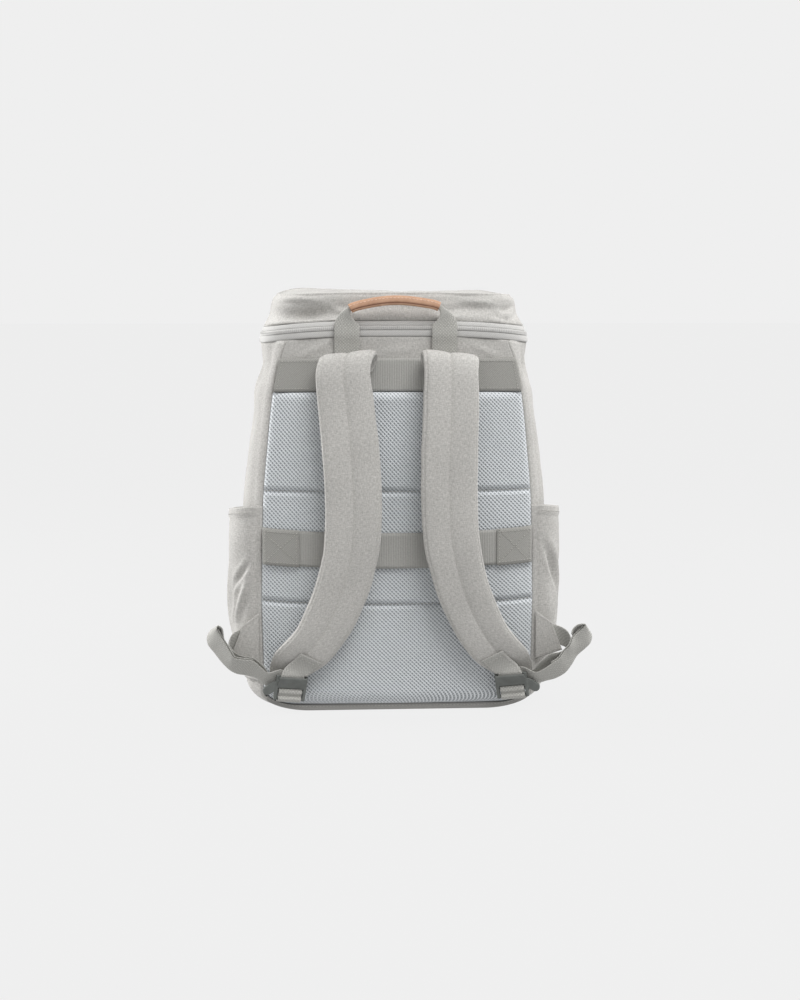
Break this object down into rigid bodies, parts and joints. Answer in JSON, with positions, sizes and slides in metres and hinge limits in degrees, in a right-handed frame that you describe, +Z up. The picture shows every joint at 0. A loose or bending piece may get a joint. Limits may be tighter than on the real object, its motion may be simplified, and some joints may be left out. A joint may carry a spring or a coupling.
{
  "type": "backpack",
  "caption": "Grey cotton backpack with a zipped lid, leather grab handle, air-mesh back pad, trolley band, padded shoulder straps with ladder buckles, and side pockets.",
  "frame": {"origin": "middle of the flat base that it stands on", "axes": "+Z up, -Y out of the side worn against the back, +X to the right when that side is seen"},
  "size_m": [0.3799, 0.2179, 0.4203],
  "materials": {
    "cotton": "melange weave",
    "air_mesh": "open spacer mesh",
    "elastic": "ribbed",
    "twill": "twill weave",
    "webbing": "woven webbing",
    "zip_cloth": "woven tape",
    "leather": "smooth tan",
    "plastic": "matte",
    "metal": "satin"
  },
  "bodies": {
    "root": {"body_wall": "cotton", "base_panel": "cotton", "base_binding": "twill", "back_pad": "air_mesh", "yoke_panel": "cotton", "upper_band": "elastic", "upper_patch_left": "twill", "upper_patch_right": "twill", "trolley_band": "elastic", "trolley_patch_left": "twill", "trolley_patch_right": "twill", "zip_tape_lower": "zip_cloth", "zip_coil": "zip_cloth", "zip_tape_upper": "zip_cloth", "zip_slider": "metal", "lid_wall": "cotton", "lid_top": "cotton", "side_pocket_right": "cotton", "side_pocket_left": "cotton", "shoulder_strap_left": "cotton", "shoulder_strap_right": "cotton", "strap_tab_left": "webbing", "strap_tab_right": "webbing", "ladder_buckle_left": "plastic", "ladder_buckle_right": "plastic", "lower_webbing_left": "webbing", "lower_webbing_right": "webbing", "wing_tab_left": "cotton", "wing_tab_right": "cotton", "handle_webbing": "webbing", "handle_sleeve": "leather"}
  },
  "joints": []
}
